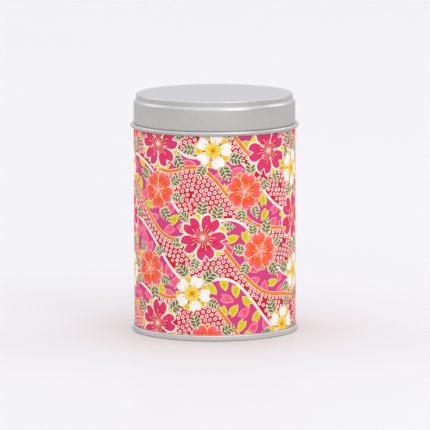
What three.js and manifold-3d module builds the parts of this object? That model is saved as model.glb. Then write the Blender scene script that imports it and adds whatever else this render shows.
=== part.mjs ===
// A round tea caddy: a tinplate canister wrapped in printed washi paper, closed by a dished inner lid
// and by a slip-on outer lid with a stacking step.
// Millimetres, +Z up. The origin is the centre of the base, and the front faces -Y.

import * as THREE from "three";
import { mergeVertices } from "three/addons/utils/BufferGeometryUtils.js";
import Module from "manifold-3d";

const wasm = await Module();
wasm.setup();

// Driving dimensions
const BODY_RADIUS = 37.5; // outside of the paper
const HEIGHT = 110.5;
const PLATE = 0.3; // tinplate
const PAPER = 0.2; // washi with its backing
const SNUG = 0.05; // gap between pieces that are glued, pressed or resting together
const SLIP = 0.3; // gap all round a lid that slides
const SIDES = 48; // facets round the caddy
const SMALL_SIDES = 24; // facets round the knob and its fastener
const FACET = 360 / SIDES;

// Radii of the walls, from the paper inwards
const shellOuter = BODY_RADIUS - PAPER - SNUG;
const shellInner = shellOuter - PLATE;
const neckOuter = shellInner - SNUG;
const neckInner = neckOuter - PLATE;

// The double seam that joins the bottom end to the shell
const SEAM_HEIGHT = 2.7;
const SEAM_RADIUS = 38.5;
const SEAM_GAP = 0.15; // between the layers of the hooks
const SEAM_CORNER = 0.35;
const SHELL_FOOT = PLATE + SNUG; // lowest point of the shell, inside the seam
const BODY_HOOK_TOP = 1.95;
const END_HOOK_TIP = 0.8;

// The neck ring and its bead
const BEAD_RADIUS = 1;
const BEAD_OUTER = 39.05;
const BEAD_TOP = 96.85;
const NECK_TOP = 105.5;
const NECK_FOOT = 85;
const HEM_HEIGHT = 1.7; // the neck's upper edge, folded inwards

// The outer lid
const lidInner = neckOuter + SLIP;
const lidOuter = lidInner + PLATE;
const LID_FOOT = BEAD_TOP + SNUG;
const EDGE_BREAK = 0.1; // on both corners of the lid's lower edge
const SHOULDER_RADIUS = 2.3;
const SHOULDER_FOOT = 106.05; // where the shoulder runs into the wall
const SHOULDER_TOP = 108; // where it meets the stacking step
const SHOULDER_START = 58; // degrees, at the step
const STEP_RADIUS = 36.3; // the raised disc that another caddy's base fits round
const STEP_CORNER = 0.7;

// The inner lid, its knob and the fastener
const FLANGE_RADIUS = 36.85;
const PAN_FLOOR = 99.5; // underside of the dished panel
const KNOB_RADIUS = 9;
const KNOB_TOP = 108.7;
const SHANK_RADIUS = 1.5;
const SHANK_TOP = 104;
const WASHER = 0.5;

const point = (r, z) => new THREE.Vector2(r, z);

// Points along an arc in a profile: centre, radius, and angles in degrees from the outward direction.
function arc(r, z, radius, from, to, steps = 3) {
  return Array.from({ length: steps + 1 }, (_, i) => {
    const a = THREE.MathUtils.degToRad(from + ((to - from) * i) / steps);
    return point(r + radius * Math.cos(a), z + radius * Math.sin(a));
  });
}

// A solid of revolution about Z. The profile is a closed outline of [r, z] points, or runs from axis to axis.
function revolve(outline, sides = SIDES) {
  const points = outline.flatMap((p) => (typeof p[0] === "number" ? point(...p) : p));
  const onAxis = points[0].x === 0 && points.at(-1).x === 0;
  if (THREE.ShapeUtils.area(points) < 0) points.reverse();
  if (!onAxis) points.push(points[0].clone());
  return new THREE.LatheGeometry(points, sides).rotateX(Math.PI / 2);
}

// A point at an angle in degrees from +X, on a circle in plan.
function polar(radius, degrees) {
  const a = THREE.MathUtils.degToRad(degrees);
  return point(radius * Math.cos(a), radius * Math.sin(a));
}

// A plan outline pulled up from one height to another.
function prism(outline, low, high) {
  const options = { depth: high - low, bevelEnabled: false };
  return new THREE.ExtrudeGeometry(new THREE.Shape(outline), options).translate(0, 0, low);
}

function solidOf(geometry) {
  const bare = geometry.clone().deleteAttribute("normal").deleteAttribute("uv");
  const merged = mergeVertices(bare, 1e-4);
  return new wasm.Manifold(
    new wasm.Mesh({
      numProp: 3,
      vertProperties: merged.attributes.position.array,
      triVerts: new Uint32Array(merged.index.array),
    }),
  );
}

function geometryOf(solid) {
  const { vertProperties, triVerts } = solid.getMesh();
  return new THREE.BufferGeometry()
    .setAttribute("position", new THREE.BufferAttribute(vertProperties, 3))
    .setIndex(new THREE.BufferAttribute(triVerts, 1));
}

// The canister's tube. Its lower edge turns out and up into the seam's body hook, and the lap of its
// side seam lies inside, at the back.
function bodyShell() {
  const hookOuter = SEAM_RADIUS - PLATE - SEAM_GAP;
  const hookInner = hookOuter - PLATE;
  const top = BEAD_TOP - 2 * BEAD_RADIUS - 0.15;
  const tube = revolve([
    [shellInner, top],
    [shellInner, SHELL_FOOT],
    [hookOuter, SHELL_FOOT],
    [hookOuter, BODY_HOOK_TOP],
    [hookInner, BODY_HOOK_TOP],
    [hookInner, SHELL_FOOT + PLATE],
    [shellOuter, SHELL_FOOT + PLATE],
    [shellOuter, top],
  ]);
  const LAP_FOOT = 4;
  const lapTop = NECK_FOOT - 1;
  const lapInner = shellInner - PLATE;
  const lapOuter = shellInner + PLATE / 2;
  const back = 90;
  const lap = prism(
    [
      polar(lapOuter, back - FACET / 2),
      polar(lapOuter, back + FACET / 2),
      polar(lapInner, back + FACET / 2),
      polar(lapInner, back - FACET / 2),
    ],
    LAP_FOOT,
    lapTop,
  );
  return geometryOf(solidOf(tube).add(solidOf(lap)));
}

// The base: a panel with a countersink, whose rim wraps round the shell's hook as a double seam.
function bottomEnd() {
  const chuckInner = neckInner; // the wall that stands inside the shell
  const hookOuter = shellOuter + SEAM_GAP + PLATE;
  const hookInner = shellOuter + SEAM_GAP;
  const panel = 2.5;
  const sink = 3.3;
  const wall = SEAM_RADIUS - PLATE;
  return revolve([
    [0, panel],
    [33.6, panel],
    [34.4, sink],
    [35.8, sink],
    [chuckInner, sink - 0.7],
    [chuckInner, SEAM_CORNER],
    [chuckInner + PLATE, 0],
    arc(SEAM_RADIUS - SEAM_CORNER, SEAM_CORNER, SEAM_CORNER, -90, 0, 2),
    arc(SEAM_RADIUS - SEAM_CORNER, SEAM_HEIGHT - SEAM_CORNER, SEAM_CORNER, 0, 90, 2),
    [hookInner + SEAM_CORNER, SEAM_HEIGHT],
    [hookInner, SEAM_HEIGHT - SEAM_CORNER],
    [hookInner, END_HOOK_TIP],
    [hookOuter, END_HOOK_TIP],
    [hookOuter, SEAM_HEIGHT - PLATE],
    [wall, SEAM_HEIGHT - PLATE],
    [wall, PLATE],
    [chuckInner + PLATE, PLATE],
    [chuckInner + PLATE, sink - 0.55],
    [35.93, sink + PLATE],
    [34.27, sink + PLATE],
    [33.47, panel + PLATE],
    [0, panel + PLATE],
  ]);
}

// The ring of sealing compound that fills the top of the seam.
function seamCompound() {
  const inner = shellOuter + SEAM_GAP + PLATE + 0.08;
  const outer = SEAM_RADIUS - PLATE - 0.08;
  const low = BODY_HOOK_TOP + 0.06;
  const high = SEAM_HEIGHT - PLATE - 0.06;
  return revolve([
    [inner, low],
    [outer, low],
    [outer, high],
    [inner, high],
  ]);
}

// The sheet of washi: once round the shell, with its end lapped over its start at the back.
function paperWrap() {
  const START = 90;
  const LAP_FACETS = 2;
  const inner = shellOuter + SNUG;
  const lifted = BODY_RADIUS + SNUG; // inner radius of the lapped end
  const angles = Array.from({ length: SIDES + LAP_FACETS + 1 }, (_, i) => START + i * FACET);
  const radiusAt = (i) => (i < SIDES ? inner : lifted);
  const outside = angles.map((a, i) => polar(radiusAt(i) + PAPER, a));
  const inside = angles.map((a, i) => polar(radiusAt(i), a)).reverse();
  const low = SEAM_HEIGHT + 0.2;
  const high = BEAD_TOP - 2 * BEAD_RADIUS - 0.25;
  return prism([...outside, ...inside], low, high);
}

// The ring pressed into the shell's mouth. Its bead covers the edges of shell and paper and stops the
// outer lid, and the lid slides on the neck above it.
function neckRing() {
  const beadMiddle = BEAD_TOP - BEAD_RADIUS;
  const beadCentre = BEAD_OUTER - BEAD_RADIUS;
  const hollow = BEAD_RADIUS - PLATE;
  const hemInner = neckInner - PLATE - SNUG;
  return revolve([
    [neckInner, NECK_FOOT],
    [neckOuter, NECK_FOOT],
    [neckOuter, beadMiddle - BEAD_RADIUS],
    arc(beadCentre, beadMiddle, BEAD_RADIUS, -90, 90, 6),
    [neckOuter, BEAD_TOP],
    [neckOuter, NECK_TOP - 0.2],
    [neckOuter - 0.15, NECK_TOP],
    [hemInner + 0.15, NECK_TOP],
    [hemInner, NECK_TOP - 0.2],
    [hemInner, NECK_TOP - HEM_HEIGHT],
    [neckInner, NECK_TOP - HEM_HEIGHT],
    [neckInner, beadMiddle + hollow],
    arc(beadCentre, beadMiddle, hollow, 90, -90, 4),
    [neckInner, beadMiddle - hollow],
  ]);
}

// The slip-on lid: flat top, stacking step, rounded shoulder, and a straight skirt down to the bead.
function outerLid() {
  const shoulder = lidOuter - SHOULDER_RADIUS; // centre of the shoulder's arc
  const topInner = HEIGHT - PLATE;
  const stepFoot = STEP_RADIUS - 0.05;
  return revolve([
    [0, HEIGHT],
    arc(STEP_RADIUS - STEP_CORNER, HEIGHT - STEP_CORNER, STEP_CORNER, 90, 0, 4),
    [stepFoot, SHOULDER_TOP],
    arc(shoulder, SHOULDER_FOOT, SHOULDER_RADIUS, SHOULDER_START, 0, 4),
    [lidOuter, LID_FOOT + EDGE_BREAK],
    [lidOuter - EDGE_BREAK, LID_FOOT],
    [lidInner + EDGE_BREAK, LID_FOOT],
    [lidInner, LID_FOOT + EDGE_BREAK],
    arc(shoulder, SHOULDER_FOOT, SHOULDER_RADIUS - PLATE, 0, SHOULDER_START, 4),
    [stepFoot - PLATE, SHOULDER_TOP - 0.15],
    arc(STEP_RADIUS - STEP_CORNER, HEIGHT - STEP_CORNER, STEP_CORNER - PLATE, 0, 90, 2),
    [0, topInner],
  ]);
}

// The inner lid: a dish that plugs the neck, hung on its flange, with a stiffening ring in the panel.
function innerLid() {
  const skirtOuter = neckInner - PLATE - SNUG - SLIP;
  const skirtInner = skirtOuter - PLATE;
  const flangeLow = NECK_TOP + SNUG;
  const flangeHigh = flangeLow + PLATE;
  const BEND = 0.9; // corner between skirt and panel
  const RING_RADIUS = 25;
  const RING_RISE = 0.8;
  const HOLE = SHANK_RADIUS + 0.1;
  const panelTop = PAN_FLOOR + PLATE;
  return revolve([
    [HOLE, PAN_FLOOR],
    [RING_RADIUS - 1.6, PAN_FLOOR],
    [RING_RADIUS - 0.6, PAN_FLOOR + RING_RISE],
    [RING_RADIUS + 0.6, PAN_FLOOR + RING_RISE],
    [RING_RADIUS + 1.6, PAN_FLOOR],
    arc(skirtOuter - BEND, PAN_FLOOR + BEND, BEND, -90, 0, 3),
    [skirtOuter, flangeLow],
    [FLANGE_RADIUS - 0.1, flangeLow],
    [FLANGE_RADIUS, flangeLow + PLATE / 2],
    [FLANGE_RADIUS - 0.1, flangeHigh],
    [skirtInner + 0.3, flangeHigh],
    [skirtInner, flangeHigh - 0.3],
    arc(skirtOuter - BEND, PAN_FLOOR + BEND, BEND - PLATE, 0, -90, 3),
    [RING_RADIUS + 1.7, panelTop],
    [RING_RADIUS + 0.7, panelTop + RING_RISE],
    [RING_RADIUS - 0.7, panelTop + RING_RISE],
    [RING_RADIUS - 1.7, panelTop],
    [HOLE, panelTop],
  ]);
}

// The knob in the middle of the inner lid: a turned button with a waist, bored from below.
function innerLidKnob() {
  const foot = PAN_FLOOR + PLATE + SNUG;
  const bore = SHANK_RADIUS + SNUG;
  const headLow = KNOB_TOP - 2.6;
  return revolve(
    [
      [0, KNOB_TOP],
      [KNOB_RADIUS - 2.5, KNOB_TOP - 0.15],
      arc(KNOB_RADIUS - 1.2, KNOB_TOP - 1.4, 1.2, 80, -60, 4),
      [5.4, headLow - 0.6],
      [4.4, headLow - 1.8],
      [4.4, foot + 1.4],
      [5.6, foot + 0.5],
      [5.6, foot],
      [bore, foot],
      [bore, SHANK_TOP + 0.3],
      [0, SHANK_TOP + 0.3],
    ],
    SMALL_SIDES,
  );
}

// The washer under the inner lid's panel.
function knobWasher() {
  const high = PAN_FLOOR - SNUG;
  return revolve(
    [
      [SHANK_RADIUS + 0.1, high - WASHER],
      [4.6, high - WASHER],
      [4.6, high],
      [SHANK_RADIUS + 0.1, high],
    ],
    SMALL_SIDES,
  );
}

// The rivet driven up through washer and panel into the knob's bore.
function knobRivet() {
  const seat = PAN_FLOOR - 2 * SNUG - WASHER;
  const HEAD_RADIUS = 3;
  const HEAD_HEIGHT = 1.1;
  return revolve(
    [
      [0, SHANK_TOP],
      [SHANK_RADIUS - 0.3, SHANK_TOP],
      [SHANK_RADIUS, SHANK_TOP - 0.3],
      [SHANK_RADIUS, seat],
      [HEAD_RADIUS, seat],
      [HEAD_RADIUS - 0.3, seat - 0.6],
      [HEAD_RADIUS - 1.3, seat - HEAD_HEIGHT],
      [0, seat - HEAD_HEIGHT],
    ],
    SMALL_SIDES,
  );
}

const material = (color, roughness, metalness) =>
  new THREE.MeshStandardMaterial({ color, roughness, metalness });
const satinTin = material(0xc6c5c1, 0.38, 1);
const brightTin = material(0xcfcfce, 0.28, 1);
const washi = material(0xd8365f, 0.75, 0);
const compound = material(0x8b8f86, 0.8, 0);
const turnedMetal = material(0xd2d2d0, 0.25, 1);

const caddy = new THREE.Group();
function piece(name, geometry, finish) {
  const mesh = new THREE.Mesh(geometry, finish);
  mesh.name = name;
  caddy.add(mesh);
}

piece("body_shell", bodyShell(), brightTin);
piece("bottom_end", bottomEnd(), satinTin);
piece("seam_compound", seamCompound(), compound);
piece("paper_wrap", paperWrap(), washi);
piece("neck_ring", neckRing(), satinTin);
piece("outer_lid", outerLid(), satinTin);
piece("inner_lid", innerLid(), satinTin);
piece("inner_lid_knob", innerLidKnob(), turnedMetal);
piece("knob_washer", knobWasher(), brightTin);
piece("knob_rivet", knobRivet(), brightTin);

export default caddy;
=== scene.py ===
import math
import random

import bpy
import numpy as np
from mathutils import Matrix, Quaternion, Vector
from mathutils.bvhtree import BVHTree
from mathutils.geometry import delaunay_2d_cdt


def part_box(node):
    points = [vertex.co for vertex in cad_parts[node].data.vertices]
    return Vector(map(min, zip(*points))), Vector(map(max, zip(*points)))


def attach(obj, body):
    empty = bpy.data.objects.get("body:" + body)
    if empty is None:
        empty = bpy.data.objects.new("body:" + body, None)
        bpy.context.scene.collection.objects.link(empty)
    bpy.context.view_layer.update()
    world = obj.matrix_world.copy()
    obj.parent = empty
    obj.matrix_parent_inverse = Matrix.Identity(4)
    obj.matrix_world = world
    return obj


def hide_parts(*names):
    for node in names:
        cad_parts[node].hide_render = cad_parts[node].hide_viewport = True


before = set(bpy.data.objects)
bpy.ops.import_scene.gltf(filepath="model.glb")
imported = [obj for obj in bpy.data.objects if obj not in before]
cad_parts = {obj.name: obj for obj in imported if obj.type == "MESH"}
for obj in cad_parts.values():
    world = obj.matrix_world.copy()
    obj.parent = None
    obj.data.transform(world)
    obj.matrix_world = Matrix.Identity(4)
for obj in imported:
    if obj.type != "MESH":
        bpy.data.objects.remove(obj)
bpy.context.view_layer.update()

# The caddy's outlines and its printed pattern are worked out in millimetres. A mesh is in metres.
MM = 0.001
random.seed(11)


# ---------------------------------------------------------------- sizes, from the CAD parts

def size_mm(node):
    """(largest radius, lowest z, highest z) of a turned CAD node, in millimetres."""
    low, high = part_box(node)
    return high.x / MM, low.z / MM, high.z / MM


_, LID_FOOT, LID_TOP = size_mm("outer_lid")
NECK_RADIUS, NECK_FOOT, NECK_TOP = size_mm("neck_ring")
SEAM_RADIUS, _, _ = size_mm("bottom_end")
PAPER_RADIUS, PAPER_LOW, PAPER_HIGH = size_mm("paper_wrap")
FLANGE_RADIUS, PAN_LOW, FLANGE_TOP = size_mm("inner_lid")
KNOB_RADIUS, KNOB_FOOT, KNOB_TOP = size_mm("inner_lid_knob")

PLATE = 0.3  # thickness of the tinplate
PAPER = 0.2  # thickness of the washi
SNUG = 0.05  # gap of two pieces that are fixed together
SLIP = 0.3  # gap round each lid
SHELL_OUTER = PAPER_RADIUS - PAPER - SNUG
SHELL_INNER = SHELL_OUTER - PLATE
NECK_OUTER = SHELL_INNER - SNUG
NECK_INNER = NECK_OUTER - PLATE
LID_INNER = NECK_OUTER + SLIP
LID_OUTER = LID_INNER + PLATE
SIDES = 192
CREASE = 32  # degrees, above which an edge shades sharp


# ---------------------------------------------------------------- mesh helpers

def arc(r, z, radius, start, end, steps=8):
    """Points along an arc of a profile: centre, radius, and angles in degrees from the outward direction."""
    angles = np.radians(np.linspace(start, end, steps + 1))
    return [(r + radius * math.cos(a), z + radius * math.sin(a)) for a in angles]


def profile(*items):
    """One outline from single points and lists of points."""
    points = []
    for item in items:
        points.extend(item if isinstance(item, list) else [item])
    return points


def new_object(name, vertices_mm, faces):
    mesh = bpy.data.meshes.new(name)
    mesh.from_pydata((np.asarray(vertices_mm, float) * MM).tolist(), [], faces)
    mesh.validate()
    obj = bpy.data.objects.new(name, mesh)
    bpy.context.scene.collection.objects.link(obj)
    return obj


def lathe(name, outline, sides=SIDES):
    """A closed solid of revolution from an outline of (r, z), which closes on itself or runs axis to axis."""
    area = sum(a[0] * b[1] - b[0] * a[1] for a, b in zip(outline, outline[1:] + outline[:1]))
    if area < 0:
        outline = outline[::-1]
    open_ended = outline[0][0] == 0 or outline[-1][0] == 0
    angles = [2 * math.pi * i / sides - math.pi / 2 for i in range(sides)]
    vertices, rings = [], []
    for r, z in outline:
        first = len(vertices)
        if r == 0:
            vertices.append((0, 0, z))
            rings.append([first] * sides)
        else:
            vertices.extend((r * math.cos(a), r * math.sin(a), z) for a in angles)
            rings.append(list(range(first, first + sides)))
    pairs = list(zip(rings, rings[1:] + rings[:1]))
    if open_ended:
        pairs.pop()
    faces = []
    for low, high in pairs:
        for i in range(sides):
            j = (i + 1) % sides
            face = list(dict.fromkeys([low[i], low[j], high[j], high[i]]))
            if len(face) > 2:
                faces.append(face)
    obj = new_object(name, vertices, faces)
    obj.data.shade_smooth()
    obj.data.set_sharp_from_angle(angle=math.radians(CREASE))
    return obj


def place(obj, body, node, material):
    """A piece that stands for one CAD node."""
    obj.data.materials.clear()
    obj.data.materials.append(material)
    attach(obj, body)
    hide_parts(node)
    return obj


# ---------------------------------------------------------------- materials

def srgb(r, g, b):
    """A display colour, 0 to 255, as a linear one."""
    def linear(c):
        c /= 255
        return c / 12.92 if c <= 0.04045 else ((c + 0.055) / 1.055) ** 2.4
    return (linear(r), linear(g), linear(b))


class Nodes:
    """A small helper for building a material's node tree."""

    def __init__(self, name):
        self.material = bpy.data.materials.new(name)
        self.material.use_nodes = True
        self.tree = self.material.node_tree
        self.shader = self.tree.nodes["Principled BSDF"]
        self.where = self.add("ShaderNodeTexCoord").outputs["Object"]

    def add(self, kind, **settings):
        node = self.tree.nodes.new(kind)
        for key, value in settings.items():
            setattr(node, key, value)
        return node

    def link(self, out, into):
        self.tree.links.new(out, into)

    def noise(self, scale, detail=3, roughness=0.5, stretch=(1, 1, 1)):
        """Noise whose grains are about `scale` millimetres, longer along an axis with a smaller stretch."""
        mapping = self.add("ShaderNodeMapping")
        mapping.inputs["Scale"].default_value = [s / (scale * MM) for s in stretch]
        self.link(self.where, mapping.inputs["Vector"])
        noise = self.add("ShaderNodeTexNoise")
        noise.inputs["Scale"].default_value = 1
        noise.inputs["Detail"].default_value = detail
        noise.inputs["Roughness"].default_value = roughness
        self.link(mapping.outputs["Vector"], noise.inputs["Vector"])
        return noise.outputs["Fac"]

    def remap(self, value, low, high, start=0.3, end=0.7):
        """value, from start to end, taken to low to high."""
        node = self.add("ShaderNodeMapRange")
        for key, number in zip(("From Min", "From Max", "To Min", "To Max"), (start, end, low, high)):
            node.inputs[key].default_value = number
        self.link(value, node.inputs["Value"])
        return node.outputs["Result"]

    def math(self, operation, a, b):
        node = self.add("ShaderNodeMath", operation=operation)
        for socket, value in zip(node.inputs, (a, b)):
            if isinstance(value, (int, float)):
                socket.default_value = value
            else:
                self.link(value, socket)
        return node.outputs[0]

    def mix(self, factor, a, b, blend="MIX"):
        """Two colours, or a colour and an output, mixed by factor."""
        node = self.add("ShaderNodeMix", data_type="RGBA", blend_type=blend)
        for socket, value in ((node.inputs[0], factor), (node.inputs[6], a), (node.inputs[7], b)):
            if isinstance(value, (int, float)):
                socket.default_value = value
            elif isinstance(value, tuple):
                socket.default_value = (*value, 1)
            else:
                self.link(value, socket)
        return node.outputs[2]

    def bump(self, height, strength, distance_mm):
        node = self.add("ShaderNodeBump")
        node.inputs["Strength"].default_value = strength
        node.inputs["Distance"].default_value = distance_mm * MM
        self.link(height, node.inputs["Height"])
        self.link(node.outputs["Normal"], self.shader.inputs["Normal"])


def metal(name, light, dark, roughness, brushing=(1, 1, 0.04)):
    """Tinplate: a soft cloudy tone, streaks along the way it was rolled or turned, and a fine grain."""
    n = Nodes(name)
    clouds = n.noise(14, detail=4)
    streaks = n.noise(0.5, detail=4, roughness=0.6, stretch=brushing)
    tone = n.math("ADD", n.math("MULTIPLY", clouds, 0.55), n.math("MULTIPLY", streaks, 0.45))
    n.link(n.mix(n.remap(tone, 0, 1, 0.38, 0.62), dark, light), n.shader.inputs["Base Color"])
    spread = n.math("ADD", n.math("MULTIPLY", clouds, 0.5), n.math("MULTIPLY", streaks, 0.5))
    n.link(n.remap(spread, roughness - 0.05, roughness + 0.06), n.shader.inputs["Roughness"])
    n.bump(streaks, 0.12, 0.02)
    n.shader.inputs["Metallic"].default_value = 1
    n.shader.inputs["Specular Tint"].default_value = (0.82, 0.82, 0.81, 1)
    return n.material


def compound_material():
    """The matte sealing compound in the bottom seam."""
    n = Nodes("sealing_compound")
    mottle = n.noise(0.8)
    n.link(n.mix(mottle, srgb(120, 124, 116), srgb(150, 153, 144)), n.shader.inputs["Base Color"])
    n.link(n.remap(mottle, 0.7, 0.9), n.shader.inputs["Roughness"])
    n.bump(mottle, 0.3, 0.05)
    return n.material


def washi_material():
    """Screen-printed washi. Each colour of ink and its watered tone come with the mesh."""
    n = Nodes("printed_washi")
    ink = n.add("ShaderNodeAttribute", attribute_name="ink").outputs["Color"]
    wash = n.add("ShaderNodeAttribute", attribute_name="wash").outputs["Color"]
    cloud = n.remap(n.noise(3.2, detail=4, roughness=0.55), 0, 1, 0.35, 0.65)
    colour = n.mix(cloud, ink, wash)
    speckle = n.noise(0.25, detail=2)
    fibres = n.noise(0.5, detail=3, roughness=0.7, stretch=(1, 1, 0.25))
    worn = n.remap(speckle, 0.9, 1.04)
    grey = n.add("ShaderNodeCombineColor")
    for channel in ("Red", "Green", "Blue"):
        n.link(worn, grey.inputs[channel])
    n.link(n.mix(1.0, colour, grey.outputs["Color"], "MULTIPLY"), n.shader.inputs["Base Color"])
    n.link(n.remap(fibres, 0.62, 0.8), n.shader.inputs["Roughness"])
    n.bump(n.math("ADD", fibres, n.math("MULTIPLY", speckle, 0.5)), 0.25, 0.05)
    n.shader.inputs["Specular IOR Level"].default_value = 0.3
    return n.material


def paper_back_material():
    """The unprinted back and edges of the washi."""
    n = Nodes("washi_back")
    fibres = n.noise(0.6, detail=4, roughness=0.7, stretch=(1, 1, 0.3))
    n.link(n.mix(fibres, srgb(226, 214, 198), srgb(246, 240, 230)), n.shader.inputs["Base Color"])
    n.link(n.remap(fibres, 0.75, 0.9), n.shader.inputs["Roughness"])
    n.bump(fibres, 0.3, 0.05)
    return n.material


def stage_material():
    """The plain pale floor."""
    n = Nodes("stage")
    tone = n.noise(400, detail=2)
    n.link(n.mix(tone, (0.665, 0.66, 0.617), (0.685, 0.68, 0.636)), n.shader.inputs["Base Color"])
    n.shader.inputs["Roughness"].default_value = 0.75
    n.shader.inputs["Specular IOR Level"].default_value = 0.1
    n.shader.inputs["Coat Weight"].default_value = 0.03
    n.shader.inputs["Coat Roughness"].default_value = 0.15
    return n.material


satin_tin = metal("satin_tin", (0.565, 0.559, 0.515), (0.538, 0.533, 0.491), 0.32)
# A lighter copy of the satin tin for the bottom end: painted light, making the seam brighter than the same
# tinplate above to stand in for the light it catches.
base_tin_painted_light = metal("base_tin_painted_light", (0.7, 0.685, 0.66), (0.66, 0.648, 0.625), 0.34)
bright_tin = metal("bright_tin", (0.76, 0.76, 0.75), (0.7, 0.7, 0.69), 0.24)
turned_metal = metal("turned_metal", (0.78, 0.78, 0.77), (0.72, 0.72, 0.71), 0.2, brushing=(0.1, 0.1, 1))
compound = compound_material()
washi = washi_material()
paper_back = paper_back_material()


# ---------------------------------------------------------------- tinplate pieces

def outer_lid():
    step = 36.3
    step_corner = 0.7
    shoulder_radius = 2.3
    shoulder_start = 58
    shoulder = LID_OUTER - shoulder_radius
    shoulder_foot = LID_TOP - 4.45
    shoulder_top = LID_TOP - 2.5
    edge = PLATE / 2
    crown = LID_TOP - step_corner
    crease = 0.16
    outline = profile(
        (0, LID_TOP),
        (12, LID_TOP),
        (30, LID_TOP),
        arc(step - step_corner, crown, step_corner, 90, 0),
        arc(step - 0.04 + crease, shoulder_top + crease, crease, 180, 240, 4),
        arc(shoulder, shoulder_foot, shoulder_radius, shoulder_start, 0, 12),
        (LID_OUTER, LID_FOOT + 5),
        arc(LID_INNER + edge, LID_FOOT + edge, edge, 0, -180),
        (LID_INNER, LID_FOOT + 5),
        arc(shoulder, shoulder_foot, shoulder_radius - PLATE, 0, shoulder_start, 12),
        (step - PLATE, shoulder_top - 0.15),
        arc(step - step_corner, crown, step_corner - PLATE, 0, 90, 5),
        (30, LID_TOP - PLATE),
        (12, LID_TOP - PLATE),
        (0, LID_TOP - PLATE),
    )
    return lathe("lid_outer_cap", outline)


def neck_ring():
    bead = 1.0
    bead_r = NECK_RADIUS - bead
    bead_z = LID_FOOT - SNUG - bead
    hollow = bead - PLATE
    hem = NECK_INNER - PLATE - SNUG
    hem_foot = NECK_TOP - 1.7
    edge = (NECK_OUTER - hem) / 2
    outline = profile(
        (NECK_INNER, NECK_FOOT),
        (NECK_OUTER, NECK_FOOT),
        (NECK_OUTER, bead_z - bead),
        arc(bead_r, bead_z, bead, -90, 90, 20),
        (NECK_OUTER, bead_z + bead),
        arc(hem + edge, NECK_TOP - edge, edge, 0, 180, 10),
        (hem, hem_foot),
        (NECK_INNER, hem_foot),
        (NECK_INNER, bead_z + hollow),
        arc(bead_r, bead_z, hollow, 90, -90, 14),
        (NECK_INNER, bead_z - hollow),
    )
    return lathe("neck_collar", outline)


def bottom_end():
    corner = 0.45
    foot = 0.65
    height = PAPER_LOW - 0.2
    panel, sink = 2.5, 3.3
    wall = SEAM_RADIUS - PLATE
    hook_inner = SHELL_OUTER + 0.15
    hook_outer = hook_inner + PLATE
    outline = profile(
        (0, panel),
        (20, panel),
        (33.4, panel),
        (33.7, panel + 0.08),
        (34.3, sink - 0.08),
        (34.6, sink),
        (35.6, sink),
        (36.3, sink - 0.25),
        (NECK_INNER, sink - 0.8),
        arc(NECK_INNER + corner, corner, corner, 180, 270, 6),
        arc(SEAM_RADIUS - foot, foot, foot, -90, 0),
        arc(SEAM_RADIUS - corner, height - corner, corner, 0, 90),
        arc(hook_inner + 0.25, height - 0.25, 0.25, 90, 180, 5),
        (hook_inner, 0.8),
        (hook_outer, 0.8),
        (hook_outer, height - PLATE),
        (wall, height - PLATE),
        (wall, PLATE),
        (NECK_INNER + PLATE, PLATE),
        (NECK_INNER + PLATE, sink - 0.6),
        (36.4, sink + PLATE - 0.15),
        (35.9, sink + PLATE),
        (34.3, sink + PLATE),
        (33.5, panel + PLATE),
        (20, panel + PLATE),
        (0, panel + PLATE),
    )
    return lathe("base_end", outline)


def inner_lid():
    skirt = NECK_INNER - PLATE - SNUG - SLIP
    flange_low = FLANGE_TOP - PLATE
    bend = 0.9
    ring, rise = 25, 0.8
    hole = 1.6
    top = PAN_LOW + PLATE

    def stiffening_ring(z, half):
        """The raised ring in the panel, with soft bends, from inside to outside."""
        return [
            (ring - half - 1.3, z), (ring - half - 0.9, z + 0.08), (ring - half - 0.3, z + rise - 0.1),
            (ring - half + 0.1, z + rise), (ring + half - 0.1, z + rise), (ring + half + 0.3, z + rise - 0.1),
            (ring + half + 0.9, z + 0.08), (ring + half + 1.3, z),
        ]

    outline = profile(
        (hole, PAN_LOW),
        stiffening_ring(PAN_LOW, 0.5),
        arc(skirt - bend, PAN_LOW + bend, bend, -90, 0),
        (skirt, flange_low),
        (FLANGE_RADIUS - 0.15, flange_low),
        arc(FLANGE_RADIUS - 0.15, flange_low + 0.15, 0.15, -90, 90, 6),
        arc(skirt - PLATE + 0.5, FLANGE_TOP - 0.5, 0.5, 90, 180, 6),
        arc(skirt - bend, PAN_LOW + bend, bend - PLATE, 0, -90),
        stiffening_ring(top, 0.6)[::-1],
        (hole, top),
    )
    return lathe("lid_inner_pan", outline)


def knob():
    neck = 4.4
    bore = 1.55
    roof = KNOB_FOOT + 4.45
    rim = 1.2
    outline = profile(
        (0, KNOB_TOP),
        (4, KNOB_TOP - 0.03),
        (KNOB_RADIUS - 2.5, KNOB_TOP - 0.14),
        arc(KNOB_RADIUS - rim, KNOB_TOP - 0.2 - rim, rim, 80, -60, 14),
        (6.4, KNOB_TOP - 2.75),
        (5.2, KNOB_TOP - 3.2),
        (4.6, KNOB_TOP - 3.9),
        (neck, KNOB_TOP - 4.6),
        (neck, KNOB_FOOT + 1.6),
        (neck + 0.3, KNOB_FOOT + 1.0),
        arc(5.6 - 0.3, KNOB_FOOT + 0.4, 0.3, 80, 0, 5),
        (5.6, KNOB_FOOT),
        (bore, KNOB_FOOT),
        (bore, roof),
        (0, roof),
    )
    return lathe("lid_inner_button", outline, sides=96)


place(outer_lid(), "outer_lid", "outer_lid", satin_tin)
place(neck_ring(), "canister", "neck_ring", satin_tin)
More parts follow.
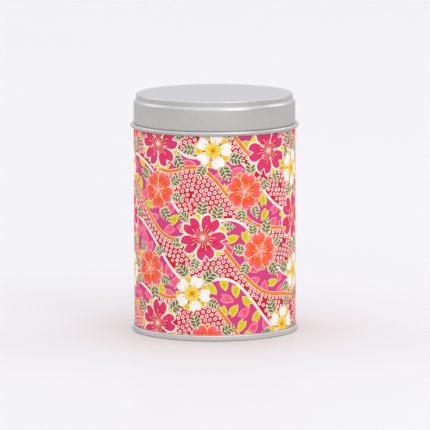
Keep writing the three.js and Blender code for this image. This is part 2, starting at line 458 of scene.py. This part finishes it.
# The bottom end takes the lighter copy of the tin, which is painted light.
place(bottom_end(), "canister", "bottom_end", base_tin_painted_light)
place(inner_lid(), "inner_lid", "inner_lid", satin_tin)
place(knob(), "inner_lid", "inner_lid_knob", turned_metal)
for name, material in (
    ("body_shell", bright_tin),
    ("seam_compound", compound),
    ("knob_washer", bright_tin),
    ("knob_rivet", bright_tin),
):
    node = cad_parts[name]
    node.data.materials.clear()
    node.data.materials.append(material)


# ---------------------------------------------------------------- the printed pattern, drawn flat
# u is the distance round the caddy from the middle of its front, and v the height, both in millimetres.

SHEET_START = -math.pi * PAPER_RADIUS
LAP = 9.8
SHEET_END = math.pi * PAPER_RADIUS + LAP
REPEAT_WIDTH = 104.0  # the printing block, which repeats round the sheet

CREAM = srgb(255, 236, 208)
LINE_WHITE = srgb(255, 238, 222)
ORANGE_LINE = srgb(236, 118, 16)
ORANGE_PALE = srgb(240, 140, 40)
RED = srgb(216, 0, 34)
RED_DEEP = srgb(200, 0, 30)
MAGENTA = srgb(222, 58, 112)
PURPLE = srgb(206, 62, 138)
RING = srgb(255, 234, 224)
RING_PINK = srgb(255, 204, 200)
RING_EYE = srgb(206, 8, 44)
PINK = srgb(250, 100, 128)
PINK_LINE = srgb(255, 178, 190)
ROSE = srgb(236, 56, 96)
LIME = srgb(216, 207, 18)
LIME_LINE = srgb(250, 240, 150)
LIME_DEEP = srgb(178, 184, 6)
GOLD_LIME = srgb(228, 208, 20)
SAGE = srgb(164, 170, 120)
SAGE_LIGHT = srgb(186, 190, 138)
OLIVE = srgb(116, 116, 70)
OLIVE_DARK = srgb(84, 78, 46)
LEAF_LINE = srgb(252, 234, 202)
LEAF_VEIN = srgb(242, 230, 188)
ORANGE = srgb(246, 70, 0)
ORANGE_SOFT = srgb(250, 100, 30)
CORAL = srgb(250, 104, 108)
PINK_SOFT = srgb(246, 112, 142)
ROSE_SOFT = srgb(238, 70, 84)
PETAL_EDGE = srgb(255, 214, 178)
SEPAL_ORANGE = srgb(232, 128, 14)
CRIMSON = srgb(208, 0, 34)
SAKURA_PINK = srgb(230, 46, 104)
SAKURA_MAUVE = srgb(214, 54, 116)
STAMEN = srgb(255, 214, 196)
PETAL_WHITE = srgb(250, 248, 240)
PETAL_SHADE = srgb(238, 240, 230)
PALE_GOLD = srgb(250, 226, 96)
GOLD = srgb(238, 196, 10)
GOLD_DARK = srgb(206, 148, 8)
GOLD_DEEP = srgb(226, 118, 0)
GOLD_LINE = srgb(242, 196, 66)
SEPAL_GOLD = srgb(238, 192, 10)

shapes = []  # (outline, ink, wash), later ones over earlier ones


def draw(outline, ink, wash=None):
    """Adds a shape, anticlockwise. ink and wash are colours, or functions from points to colours."""
    outline = np.asarray(outline, float)
    after = np.roll(outline, -1, axis=0)
    if np.sum(outline[:, 0] * after[:, 1] - after[:, 0] * outline[:, 1]) < 0:
        outline = outline[::-1]
    shapes.append((outline, ink, ink if wash is None else wash))


def turned(points, centre, degrees=0.0):
    """Points turned and moved to a centre."""
    a = math.radians(degrees)
    c, s = math.cos(a), math.sin(a)
    return np.asarray(points, float) @ np.array([[c, s], [-s, c]]) + np.asarray(centre, float)


def disc(centre, radius, count):
    angles = np.linspace(0, 2 * math.pi, count, endpoint=False)
    return np.column_stack([np.cos(angles), np.sin(angles)]) * radius + centre


def ribbon(points, width):
    """A strip along a line, as an outline. width is a number, or one for each point."""
    points = np.asarray(points, float)
    tangent = np.gradient(points, axis=0)
    tangent /= np.linalg.norm(tangent, axis=1)[:, None]
    half = (np.asarray(width) / 2 * np.ones(len(points)))[:, None]
    side = np.column_stack([-tangent[:, 1], tangent[:, 0]]) * half
    return np.vstack([points + side, (points - side)[::-1]])


def fade(centre, inner, outer, near, far):
    """A paint that goes from one colour to another with the distance from a centre."""
    near, far = np.array(near), np.array(far)

    def paint(points):
        distance = np.linalg.norm(points - centre, axis=1)
        t = np.clip((distance - inner) / (outer - inner), 0, 1)
        t = (t * t * (3 - 2 * t))[:, None]
        return near * (1 - t) + far * t

    return paint


# The lines that part the streams are counted from the top down: white, orange, white and so on.
LINE_START = 55.0  # height of line 0 at the middle of the front, without its waves
LINE_GAP = 14.6
LINES_PER_REPEAT = 4  # a line goes on in the next repeat as the one four below it
LINE_PHASES = (0.0, 1.7, 0.4, 2.1)
WAVE = 5.4
RIPPLE = 1.2
LINE_STEP = 1.5
WHITE_WIDTH = 1.3
CREAM_WIDTH = 2.0  # of the cream edging under the orange line
ORANGE_WIDTH = 1.5
LINE_NUMBERS = range(-12, 13)  # more than cross the sheet
LINE_REACH = 25  # how far past the sheet a line still matters, as the edge of a stream


def line_height(number, u):
    """Height of a line at a distance round the caddy: a slope, a long wave and a shorter ripple."""
    turn = 2 * math.pi * u / REPEAT_WIDTH
    phase = LINE_PHASES[number % LINES_PER_REPEAT]
    fall = LINE_GAP * (number + LINES_PER_REPEAT * u / REPEAT_WIDTH)
    return LINE_START - fall + WAVE * np.sin(2 * turn + phase) + RIPPLE * np.sin(3 * turn + 1.3 * phase)


def stream_line(number):
    """One line right across the sheet, or None where it misses the sheet."""
    u = np.arange(SHEET_START - 3, SHEET_END + 3, LINE_STEP)
    v = line_height(number, u)
    if v.max() < PAPER_LOW - LINE_REACH or v.min() > PAPER_HIGH + LINE_REACH:
        return None
    return np.column_stack([u, v])


def rings_between(upper, lower):
    """Dappled rings in rows along the upper line of a red stream."""
    row_gap, spacing, margin = 2.06, 2.38, 1.5
    first_row, rows = 1.75, 24
    least_gap = spacing * 0.82
    wobble = 0.12
    tangent = np.gradient(upper, axis=0)
    tangent /= np.linalg.norm(tangent, axis=1)[:, None]
    down = np.column_stack([tangent[:, 1], -tangent[:, 0]])
    placed = []
    for row in range(rows):
        offset = upper + down * (first_row + row * row_gap)
        lengths = np.concatenate([[0], np.cumsum(np.linalg.norm(np.diff(offset, axis=0), axis=1))])
        at = np.arange((row % 2) * spacing / 2, lengths[-1], spacing)
        for u, v in np.column_stack([np.interp(at, lengths, offset[:, k]) for k in (0, 1)]):
            u += random.uniform(-wobble, wobble)
            v += random.uniform(-wobble, wobble)
            size = random.uniform(0.84, 0.98)
            tone = random.random()
            if not (SHEET_START - 1 < u < SHEET_END + 1 and PAPER_LOW - 1 < v < PAPER_HIGH + 1):
                continue
            if np.linalg.norm(lower - (u, v), axis=1).min() < margin:
                continue
            if v < np.interp(u, lower[:, 0], lower[:, 1]):
                continue
            if np.linalg.norm(upper - (u, v), axis=1).min() < margin:
                continue
            if hidden((u, v)):
                continue
            if any(math.hypot(u - a, v - b) < least_gap for a, b in placed):
                continue
            placed.append((u, v))
            ring = tuple(a * tone + b * (1 - tone) for a, b in zip(RING, RING_PINK))
            draw(disc((u, v), size, 9), ring)
            draw(disc((u, v), size * 0.43, 6), RING_EYE)


def hidden(point):
    """True where the point is well inside a blossom, which will cover it."""
    well_inside = 0.6  # as a share of the radius
    return any(np.hypot(point[0] - u, point[1] - v) < r * well_inside for u, v, r in covered)


def streams():
    """The red streams with their rings, the fallen petals, and then the lines that edge the streams."""
    lines = {number: stream_line(number) for number in LINE_NUMBERS}
    for number, upper in lines.items():
        lower = lines.get(number + 1)
        if number % 2 == 1 and upper is not None and lower is not None:
            draw(np.vstack([upper, lower[::-1]]), RED, RED_DEEP)
            rings_between(upper, lower)
    scatter()
    for number, line in lines.items():
        if line is None:
            continue
        if number % 2 == 0:
            draw(ribbon(line, WHITE_WIDTH), LINE_WHITE)
        else:
            draw(ribbon(line, CREAM_WIDTH), CREAM)
            draw(ribbon(line, ORANGE_WIDTH), ORANGE_LINE, ORANGE_PALE)


def loose_petal(centre, degrees, length, width, line, fill, wash, heart):
    """A fallen petal, pointed at one end and cleft at the other, with a streak of deeper ink."""
    def outline(grow):
        t = np.linspace(0, 1, 9)
        half = width / 2 * np.sin(math.pi * (0.02 + 0.8 * t ** 1.1)) ** 0.8
        x = (t - 0.5) * length
        upper = np.column_stack([x, half])
        lower = np.column_stack([x, -half])[::-1][:-1]
        cleft = np.array([[length * 0.3, 0]])
        points = np.vstack([upper, cleft, lower])
        away = points / np.maximum(np.linalg.norm(points, axis=1), 0.3)[:, None]
        return turned(points + away * grow, centre, degrees)

    middle = turned([(length * 0.1, 0)], centre, degrees)[0]
    draw(outline(0.3), line)
    draw(outline(0), fade(middle, 0, width * 0.8, heart, fill), wash)
    streak = np.array([(-0.3, 0.0), (0.0, 0.03), (0.26, 0.0)]) * length
    draw(ribbon(turned(streak, centre, degrees), (0.08, 0.42, 0.08)), heart, fill)


def leaf(u, v, degrees, length):
    """A serrated leaf: outline, blade, dark strokes between the veins, and the veins."""
    width = length * 0.68
    centre = (u, v)
    teeth = 5.0

    def blade(grow):
        t = np.linspace(0, 1, 15)
        saw = 1 + 0.2 * ((t * teeth) % 1.0 - 0.5)
        half = width / 2 * np.sin(math.pi * t ** 0.78) ** 1.05 * saw + grow * (1 - t * 0.6)
        x = length * (t - 0.5) * (1 + 2 * grow / length)
        edge = np.vstack([np.column_stack([x, half]), np.column_stack([x, -half])[::-1]])
        return turned(edge, centre, degrees)

    draw(blade(0.36), LEAF_LINE)
    draw(blade(0), SAGE, SAGE_LIGHT)
    for side in (1, -1):
        for k in range(4):
            root = -0.38 + 0.2 * k
            reach = (0.25, 0.29, 0.24, 0.14)[k]
            spread = 0.19
            dark = np.array([
                (root + 0.02, side * 0.015),
                (root + 0.19, side * 0.015),
                (root + spread + 0.13, side * reach * 0.95),
                (root + spread + 0.02, side * reach),
            ])
            draw(turned(dark * length, centre, degrees), OLIVE_DARK, OLIVE)
            vein = np.array([(root, 0), (root + spread * 0.55, side * reach * 0.5),
                             (root + spread, side * reach * 1.12)])
            draw(ribbon(turned(vein * length, centre, degrees), 0.25), LEAF_VEIN)
    rib = turned(np.array([(-0.5, 0), (0, 0.012), (0.46, 0)]) * length, centre, degrees)
    draw(ribbon(rib, 0.3), LEAF_VEIN)


def petal_outline(centre, degrees, radius, half_angle, waist, notch, tip, grow=0.0, steps=9):
    """One petal: a narrow claw at the middle, a broad rounded blade, and a notch between two tips.
    waist is where the blade starts to spread, notch the depth of the cleft, tip where the tips stand,
    all as fractions of the radius or of the half angle."""
    side = np.linspace(0, 1, steps)
    out = (1 - side ** 2.2) ** 0.5 * (1 - waist) + waist
    spread = tip + (1 - tip) * side
    upper = np.column_stack([out * radius, spread * math.radians(half_angle)])
    cleft = np.array([[radius * (1 - notch), 0]])
    polar = np.vstack([[[radius * 0.1, 0]], upper[::-1] * (1, -1), cleft, upper])
    points = np.column_stack([polar[:, 0] * np.cos(polar[:, 1]), polar[:, 0] * np.sin(polar[:, 1])])
    middle = np.array([radius * 0.62, 0])
    away = points - middle
    away *= 1 + grow / np.maximum(np.linalg.norm(away, axis=1), 0.6 * grow + 0.01)[:, None]
    return turned(middle + away, centre, degrees)


def petals(centre, degrees, radius, form, line, grow, ink, wash):
    """Five petals: all their outlines first, and then their faces."""
    turns = [degrees + 72 * k + random.uniform(-2, 2) for k in range(5)]
    sizes = [radius * random.uniform(0.97, 1.03) for _ in range(5)]
    for turn, size in zip(turns, sizes):
        draw(petal_outline(centre, turn, size, grow=grow, **form), line)
    for turn, size in zip(turns, sizes):
        draw(petal_outline(centre, turn, size, **form), ink, wash)


def star(centre, degrees, inner, outer, points):
    angles = np.arange(2 * points) * math.pi / points
    r = np.where(np.arange(2 * points) % 2 == 0, outer, inner)
    return turned(np.column_stack([r * np.cos(angles), r * np.sin(angles)]), centre, degrees)


def stamens(centre, degrees, count, start, ends, colour, width, dot):
    """Threads from the middle of a blossom, each with a dot of pollen."""
    for k in range(count):
        end = ends[k % len(ends)]
        thread = turned([(start, 0), ((start + end) / 2, 0.05), (end, 0)], centre, degrees + 360 * k / count)
        draw(ribbon(thread, width), colour)
        draw(disc(thread[-1], dot, 5), colour)


def sepals(centre, degrees, distance, size, line, fill):
    """Small squares that show between the petals."""
    square = np.array([(-0.5, -0.5), (0.5, -0.5), (0.5, 0.5), (-0.5, 0.5)]) * size
    for k in range(5):
        a = degrees + 36 + 72 * k + random.uniform(-12, 12)
        middle = turned([(distance, 0)], centre, a)[0]
        draw(turned(square + 0.25 * np.sign(square), middle, a), line)
        draw(turned(square, middle, a), fill)


def cherry(u, v, r, degrees):
    """A crimson cherry blossom with a bold cream outline."""
    r *= 1.05
    centre = (u, v)
    form = dict(half_angle=34, waist=0.5, notch=0.24, tip=0.25)
    sepals(centre, degrees, r * 0.88, r * 0.3, LINE_WHITE, GOLD_LIME)
    petals(centre, degrees, r, form, CREAM, 0.85, fade(centre, r * 0.3, r * 0.85, CRIMSON, SAKURA_PINK),
           fade(centre, r * 0.35, r * 0.85, ROSE, SAKURA_MAUVE))
    draw(disc(centre, r * 0.3, 20), CRIMSON)
    stamens(centre, degrees + 9, 20, r * 0.06, (r * 0.55, r * 0.36, r * 0.47, r * 0.42), STAMEN, 0.17, 0.29)
    draw(star(centre, degrees, r * 0.06, r * 0.13, 9), STAMEN)


def plum_orange(u, v, r, degrees):
    """An orange plum blossom whose petals fade to pink."""
    centre = (u, v)
    form = dict(half_angle=35.5, waist=0.56, notch=0.15, tip=0.26)
    sepals(centre, degrees, r * 0.88, r * 0.27, CREAM, SEPAL_ORANGE)
    petals(centre, degrees, r, form, PETAL_EDGE, 0.33, fade(centre, r * 0.5, r, ORANGE, CORAL),
           fade(centre, r * 0.62, r * 1.05, ORANGE_SOFT, PINK_SOFT))
    draw(disc(centre, r * 0.2, 16), ORANGE)
    for k in range(10):
        a = degrees + 36 * k + 12
        root = r * (0.9 if k % 2 else 0.84)
        streak = turned([(root, 0), (root * 0.8, 0.12), (root * 0.62, 0)], centre, a)
        draw(ribbon(streak, (0.3, 0.2, 0.06)), ROSE_SOFT)
    stamens(centre, degrees + 6, 15, r * 0.06, (r * 0.48, r * 0.34), STAMEN, 0.18, 0.31)
    draw(star(centre, degrees, r * 0.05, r * 0.11, 7), STAMEN)


def plum_white(u, v, r, degrees):
    """A white plum blossom with a gold heart."""
    centre = (u, v)
    form = dict(half_angle=29, waist=0.52, notch=0.09, tip=0.3)
    sepals(centre, degrees, r * 0.78, r * 0.3, LINE_WHITE, SEPAL_GOLD)
    petals(centre, degrees, r, form, GOLD_LINE, 0.3, fade(centre, r * 0.36, r * 0.52, PALE_GOLD, PETAL_WHITE),
           fade(centre, r * 0.36, r * 0.56, PALE_GOLD, PETAL_SHADE))
    draw(star(centre, degrees, r * 0.3, r * 0.43, 10), PALE_GOLD)
    stamens(centre, degrees + 6, 17, r * 0.05, (r * 0.55, r * 0.42, r * 0.5), GOLD_DARK, 0.2, 0.27)
    draw(star(centre, degrees + 5, r * 0.15, r * 0.3, 13), GOLD)
    draw(star(centre, degrees, r * 0.07, r * 0.18, 9), GOLD_DEEP)


# ---------------------------------------------------------------- the layout of one printing block, by rule

KINDS = ((cherry, 10.2), (plum_orange, 8.5), (plum_white, 8.4))  # what draws each blossom, and its radius
BLOSSOM_COUNT = 16
BLOSSOM_CHOICES = 40  # random places that each blossom picks the roomiest from
BLOCK_MARGIN = 6.0  # how far the block runs past the sheet's long edges
LEAF_TRIES = 13
LEAF_GAP = 6.3
LEAF_FROM_BLOSSOM = 1.6  # between a leaf's middle and the rim of a blossom that isn't its own
PETAL_TRIES = 2600
PETAL_GAP = 5.0
PINK_PETAL = (6.2, 3.5)  # length and width
LIME_PETAL = (5.9, 3.3)
PINK_SHARE = 0.6
PETAL_FROM_LINE = 1.2
PETAL_FROM_LEAF = 4.5
PETAL_UNDER_BLOSSOM = 0.2  # how far a petal's middle may lie under a blossom's rim
PETAL_REACH = 5.0  # more than half a petal, so that those cut by the sheet's edge are drawn
LEAF_REACH = 6.0
BLOSSOM_LINE = 2  # room for a blossom's own outline, past its radius


def apart(a, b):
    """How far apart two places in the block are, the short way round its repeat."""
    across = (a[0] - b[0]) % REPEAT_WIDTH
    return math.hypot(min(across, REPEAT_WIDTH - across), a[1] - b[1])


def random_place():
    return (random.uniform(0, REPEAT_WIDTH),
            random.uniform(PAPER_LOW - BLOCK_MARGIN, PAPER_HIGH + BLOCK_MARGIN))


def lay_blossoms():
    """Blossoms spread evenly, each of the kind with none near: (u, v, paint, radius, degrees)."""
    found = []
    for _ in range(BLOSSOM_COUNT):
        choices = [random_place() for _ in range(BLOSSOM_CHOICES)]
        spot = max(choices, key=lambda c: min((apart(c, other) for other in found), default=0))
        distances = [min((apart(spot, other) for other in found if other[2] is paint), default=math.inf)
                     for paint, _ in KINDS]
        paint, radius = KINDS[distances.index(max(distances))]
        found.append((*spot, paint, radius, random.uniform(0, 72)))
    return found


def lay_leaves(blossoms):
    """Leaves that point away from a blossom, wherever there is room: (u, v, degrees, length)."""
    found = []
    for blossom in blossoms:
        u, v, _, radius, _ = blossom
        for _ in range(LEAF_TRIES):
            degrees = random.uniform(0, 360)
            length = random.uniform(6.4, 8.6)
            spot = turned([(radius + length * 0.36, 0)], (u, v), degrees)[0]
            free = all(apart(spot, other) > other[3] + LEAF_FROM_BLOSSOM for other in blossoms
                       if other is not blossom)
            if free and all(apart(spot, other) > LEAF_GAP for other in found):
                found.append((*spot, degrees + random.uniform(-25, 25), length))
    return found


def on_open_ground(u, v):
    """True between a white line and the orange line under it, clear of both."""
    heights = [(line_height(number, u) - v, number) for number in LINE_NUMBERS]
    above, number = min(h for h in heights if h[0] > 0)
    below = min(-h[0] for h in heights if h[0] <= 0)
    return number % 2 == 0 and min(above, below) > PETAL_FROM_LINE


def lay_petals(blossoms, leaves):
    """Fallen petals on the open ground: (u, v, degrees, whether it is pink)."""
    found = []
    for _ in range(PETAL_TRIES):
        spot = random_place()
        if (on_open_ground(*spot)
                and all(apart(spot, other) > other[3] - PETAL_UNDER_BLOSSOM for other in blossoms)
                and all(apart(spot, other) > PETAL_FROM_LEAF for other in leaves)
                and all(apart(spot, other) > PETAL_GAP for other in found)):
            found.append((*spot, random.uniform(0, 360), random.random() < PINK_SHARE))
    return found


def repeats(u, v, reach):
    """The same place in each printing block that the sheet takes in."""
    for block in (-2, -1, 0, 1):
        across = u + REPEAT_WIDTH * block
        if SHEET_START - reach < across < SHEET_END + reach and PAPER_LOW - reach < v < PAPER_HIGH + reach:
            yield across, v


BLOSSOMS = lay_blossoms()
LEAVES = lay_leaves(BLOSSOMS)
FALLEN = lay_petals(BLOSSOMS, LEAVES)
covered = [(across, up, radius) for u, v, _, radius, _ in BLOSSOMS for across, up in repeats(u, v, radius)]


def scatter():
    """Every fallen petal that lies on the sheet."""
    for u, v, degrees, pink in FALLEN:
        for spot in repeats(u, v, PETAL_REACH):
            if pink:
                loose_petal(spot, degrees, *PINK_PETAL, PINK_LINE, PINK, PINK_SOFT, ROSE)
            else:
                loose_petal(spot, degrees, *LIME_PETAL, LIME_LINE, LIME, GOLD_LIME, LIME_DEEP)


def artwork():
    """The whole sheet, back to front."""
    sheet_edge = [
        (SHEET_START, PAPER_LOW), (SHEET_END, PAPER_LOW),
        (SHEET_END, PAPER_HIGH), (SHEET_START, PAPER_HIGH),
    ]
    draw(sheet_edge, MAGENTA, PURPLE)
    streams()
    for u, v, degrees, length in LEAVES:
        for across, up in repeats(u, v, LEAF_REACH):
            leaf(across, up, degrees, length)
    for u, v, paint, radius, degrees in BLOSSOMS:
        for across, up in repeats(u, v, radius + BLOSSOM_LINE):
            paint(across, up, radius, degrees)


# ---------------------------------------------------------------- the sheet, wrapped

GRID = 2.4  # spacing of the points that let the sheet bend, in millimetres


def triangulate(outlines):
    """Triangles that follow every outline: (points, triangles, the last outline that covers each)."""
    points, faces = [], []
    for outline in outlines:
        faces.append(list(range(len(points), len(points) + len(outline))))
        points.extend(Vector(p) for p in outline)
    made = delaunay_2d_cdt(points, [], faces, 0, 1e-5, True)
    keep = [(tri, max(over)) for tri, over in zip(made[2], made[5]) if 0 in over]
    corners = np.array([tuple(p) for p in made[0]])
    return corners, np.array([k[0] for k in keep]), np.array([k[1] for k in keep])


def visible_only(points, triangles, shape_of, extra):
    """The same picture without the edges that lie hidden under later shapes, and with extra points."""
    edges = np.sort(np.vstack([triangles[:, [0, 1]], triangles[:, [1, 2]], triangles[:, [2, 0]]]), axis=1)
    owner = np.tile(shape_of, 3)
    order = np.lexsort((edges[:, 1], edges[:, 0]))
    edges, owner = edges[order], owner[order]
    paired = np.append((edges[1:] == edges[:-1]).all(axis=1), False)
    alone = ~paired & ~np.append(False, paired[:-1])
    parting = paired & (owner != np.append(owner[1:], -1))
    used, kept = np.unique(edges[alone | parting], return_inverse=True)
    corners = [Vector(p) for p in points[used]] + [Vector(p) for p in extra]
    made = delaunay_2d_cdt(corners, kept.reshape(-1, 2).tolist(), [], 0, 1e-5, False)
    new_points, new_triangles = np.array([tuple(p) for p in made[0]]), np.array(made[2])
    flat = np.column_stack([points, np.zeros(len(points))]).tolist()
    tree = BVHTree.FromPolygons(flat, triangles.tolist(), all_triangles=True)
    middles = new_points[new_triangles].mean(axis=1)
    under = [tree.find_nearest((x, y, 0))[2] for x, y in middles.tolist()]
    return new_points, new_triangles, shape_of[under]


def grid_points(spacing):
    us = np.arange(SHEET_START + spacing / 2, SHEET_END, spacing)
    vs = np.arange(PAPER_LOW + spacing / 2, PAPER_HIGH, spacing)
    return [(u + (j % 2) * spacing / 2 - spacing / 4, v) for j, v in enumerate(vs) for u in us]


def wrapped(points, depth):
    """Points of the flat sheet on the caddy, in millimetres. depth is the way in from the printed face."""
    u, v = points[:, 0], points[:, 1]
    lift = np.clip((u - (SHEET_END - LAP)) / 1.2 + 1, 0, 1)
    radius = PAPER_RADIUS - depth + (PAPER + SNUG) * lift * lift * (3 - 2 * lift)
    angle = u / PAPER_RADIUS
    return np.column_stack([radius * np.sin(angle), -radius * np.cos(angle), v])


def paint_corners(points, triangles, shape_of):
    """The ink and wash colours of each triangle's corners."""
    colours = np.ones((2, len(triangles), 3, 4), np.float32)
    order = np.argsort(shape_of, kind="stable")
    cuts = np.flatnonzero(np.diff(shape_of[order])) + 1
    for group in np.split(order, cuts):
        _, ink, wash = shapes[shape_of[group[0]]]
        corners = points[triangles[group]].reshape(-1, 2)
        for layer, paint in enumerate((ink, wash)):
            value = paint(corners).reshape(-1, 3, 3) if callable(paint) else np.array(paint)
            colours[layer, group, :, :3] = value
    return colours


def boundary_loop(triangles):
    """The outer edge of a triangulation, as one ring of vertices."""
    edges = {}
    for tri in triangles.tolist():
        for a, b in zip(tri, tri[1:] + tri[:1]):
            if (b, a) in edges:
                del edges[(b, a)]
            else:
                edges[(a, b)] = True
    after = dict(edges.keys())
    loop = [next(iter(after))]
    for _ in range(len(after) - 1):
        loop.append(after[loop[-1]])
    if after[loop[-1]] != loop[0] or len(set(loop)) != len(loop):
        raise RuntimeError("the sheet's edge isn't one loop")
    return loop


def printed_paper():
    """The washi as one closed sheet: printed face, plain back, and cut edges."""
    artwork()
    low, high = PAPER_LOW, PAPER_HIGH
    shapes[:] = [
        s for s in shapes
        if s[0][:, 0].max() > SHEET_START and s[0][:, 0].min() < SHEET_END
        and s[0][:, 1].max() > low and s[0][:, 1].min() < high
    ]
    points, triangles, shape_of = triangulate([s[0] for s in shapes])
    points, triangles, shape_of = visible_only(points, triangles, shape_of, grid_points(GRID))
    colours = paint_corners(points, triangles, shape_of)
    used, triangles = np.unique(triangles, return_inverse=True)
    points, triangles = points[used], triangles.reshape(-1, 3)

    loop = boundary_loop(triangles)
    back_corners = [Vector(p) for p in points[loop]] + [Vector(p) for p in grid_points(3 * GRID)]
    made = delaunay_2d_cdt(back_corners, [], [list(range(len(loop)))], 0, 1e-5, False)
    back_points, back_triangles = np.array([tuple(p) for p in made[0]]), np.array(made[2])
    nearest = {tuple(np.round(p, 5)): i for i, p in enumerate(back_points)}
    back_loop = [nearest[tuple(np.round(points[i], 5))] for i in loop]

    front_count = len(points)
    vertices = np.vstack([wrapped(points, 0), wrapped(back_points, PAPER)])
    faces = triangles.tolist()
    faces += (back_triangles[:, ::-1] + front_count).tolist()
    faces += [
        [a, ra + front_count, rb + front_count, b]
        for a, b, ra, rb in zip(loop, loop[1:] + loop[:1], back_loop, back_loop[1:] + back_loop[:1])
    ]
    obj = new_object("washi_sheet", vertices, faces)
    mesh = obj.data
    for layer, name in enumerate(("ink", "wash")):
        attribute = mesh.color_attributes.new(name, "FLOAT_COLOR", "CORNER")
        values = np.ones((len(mesh.loops), 4), np.float32)
        values[: len(triangles) * 3] = colours[layer].reshape(-1, 4)
        attribute.data.foreach_set("color", values.ravel())
    mesh.materials.append(washi)
    mesh.materials.append(paper_back)
    slots = np.ones(len(mesh.polygons), np.int32)
    slots[: len(triangles)] = 0
    mesh.polygons.foreach_set("material_index", slots)
    radial_normals(mesh, len(triangles), len(back_triangles))
    return obj


def radial_normals(mesh, front, back):
    """Exact normals on the two broad faces, so that the sheet shades as a true cylinder."""
    mesh.shade_smooth()
    coordinates = np.empty(len(mesh.vertices) * 3)
    mesh.vertices.foreach_get("co", coordinates)
    corner_vertex = np.empty(len(mesh.loops), np.int32)
    mesh.loops.foreach_get("vertex_index", corner_vertex)
    at = coordinates.reshape(-1, 3)[corner_vertex]
    normals = at * (1, 1, 0)
    normals /= np.linalg.norm(normals, axis=1)[:, None]
    normals[front * 3:(front + back) * 3] *= -1
    for polygon in mesh.polygons[front + back:]:
        normals[polygon.loop_start:polygon.loop_start + polygon.loop_total] = polygon.normal
    mesh.normals_split_custom_set(normals.tolist())


sheet = printed_paper()
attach(sheet, "canister")
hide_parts("paper_wrap")


# ---------------------------------------------------------------- stage, light and camera

def floor():
    """A plain pale floor that reaches past the edge of the picture."""
    steps = 24
    radius = 5.0
    vertices = [(0, 0, 0)]
    faces = []
    rings = 10
    for ring in range(1, rings + 1):
        r = radius * (ring / rings) ** 2
        vertices += [(r * math.cos(2 * math.pi * k / steps), r * math.sin(2 * math.pi * k / steps), 0)
                     for k in range(steps)]
    for k in range(steps):
        faces.append([0, 1 + k, 1 + (k + 1) % steps])
    for ring in range(rings - 1):
        inner, outer = 1 + ring * steps, 1 + (ring + 1) * steps
        for k in range(steps):
            after = (k + 1) % steps
            faces.append([inner + k, outer + k, outer + after, inner + after])
    mesh = bpy.data.meshes.new("floor")
    mesh.from_pydata(vertices, [], faces)
    mesh.materials.append(stage_material())
    obj = bpy.data.objects.new("floor", mesh)
    bpy.context.scene.collection.objects.link(obj)


def area_light(name, location, target, size, power, colour=(1, 1, 1)):
    data = bpy.data.lights.new(name, "AREA")
    data.shape = "RECTANGLE"
    data.size, data.size_y = size
    data.energy = power
    data.color = colour
    obj = bpy.data.objects.new(name, data)
    obj.location = location
    obj.rotation_euler = (Vector(target) - Vector(location)).to_track_quat("-Z", "Y").to_euler()
    bpy.context.scene.collection.objects.link(obj)


SKY = 1.12  # brightness of the surroundings at the horizon
SKY_TOP = 0.42  # how much brighter it is overhead
SKY_SIDES = 0.36  # how much dimmer it is straight to the left and right


def studio():
    """Soft light from all round, brighter from above, with a wide lamp to the right of the camera and
    a weaker one behind the caddy on either side."""
    world = bpy.data.worlds.new("studio")
    world.use_nodes = True
    tree = world.node_tree
    background = tree.nodes["Background"]
    background.inputs["Color"].default_value = (0.967, 0.967, 1.085, 1)
    split = tree.nodes.new("ShaderNodeSeparateXYZ")
    tree.links.new(tree.nodes.new("ShaderNodeTexCoord").outputs["Generated"], split.inputs[0])

    def math_node(operation, a, b):
        node = tree.nodes.new("ShaderNodeMath")
        node.operation = operation
        for socket, value in zip(node.inputs, (a, b)):
            if isinstance(value, float):
                socket.default_value = value
            else:
                tree.links.new(value, socket)
        return node.outputs[0]

    x, z = split.outputs["X"], split.outputs["Z"]
    above = math_node("ADD", math_node("MULTIPLY", math_node("MULTIPLY", z, z), SKY * SKY_TOP), SKY)
    sides = math_node("SUBTRACT", 1.0, math_node("MULTIPLY", math_node("MULTIPLY", x, x), SKY_SIDES))
    tree.links.new(math_node("MULTIPLY", above, sides), background.inputs["Strength"])
    bpy.context.scene.world = world
    middle = (0, 0, 0.06)
    area_light("key", (1.6, -2.2, 2.0), middle, (1.8, 1.8), 13.5, (1, 0.995, 0.98))
    area_light("left_box", (-1.9, 0.9, 1.35), middle, (1.5, 1.3), 4.2)
    area_light("right_box", (1.9, 0.9, 1.35), middle, (1.5, 1.3), 5.4)
    bpy.context.scene.view_settings.view_transform = "Standard"


def camera():
    """A long lens, looking a little down on the caddy."""
    distance, pitch = 2.425, math.radians(7.96)
    target = Vector((0.0001, 0, 0.0533))
    roll = math.radians(-0.18)
    data = bpy.data.cameras.new("camera")
    data.sensor_width = 36
    data.lens = 436.9
    data.clip_end = 30
    obj = bpy.data.objects.new("camera", data)
    back = Vector((0, -math.cos(pitch), math.sin(pitch)))
    obj.location = target + back * distance
    aim = (-back).to_track_quat("-Z", "Y")
    obj.rotation_euler = (aim @ Quaternion((0, 0, 1), roll)).to_euler()
    bpy.context.scene.collection.objects.link(obj)
    bpy.context.scene.camera = obj


floor()
studio()
camera()
